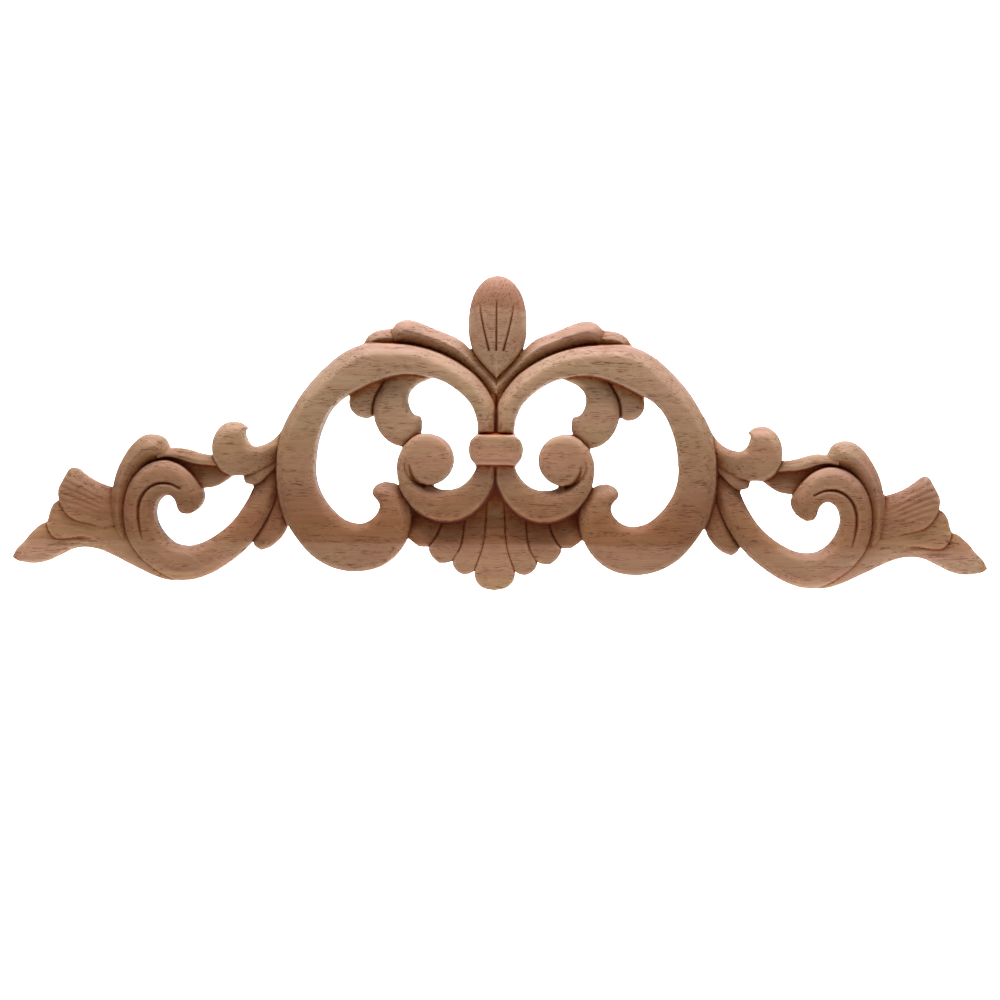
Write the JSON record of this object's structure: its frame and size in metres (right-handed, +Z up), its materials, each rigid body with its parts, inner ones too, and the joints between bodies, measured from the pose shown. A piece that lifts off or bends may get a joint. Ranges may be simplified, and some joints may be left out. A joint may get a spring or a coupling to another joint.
{
  "type": "carved wood applique",
  "caption": "Pierced, carved wooden crest applique of mirrored scrolls and leaves round a central bud and knot, with a flat back to glue on furniture, a door or a wall.",
  "frame": {"origin": "on the flat back, behind the middle of the knot", "axes": "X along the length, +Y out of the flat back towards the surface it is fixed to, +Z up; the carved front faces -Y"},
  "size_m": [0.5, 0.02, 0.1612],
  "materials": {
    "wood": "sanded, unfinished rubberwood"
  },
  "bodies": {
    "root": {"carving": "wood"}
  },
  "joints": []
}
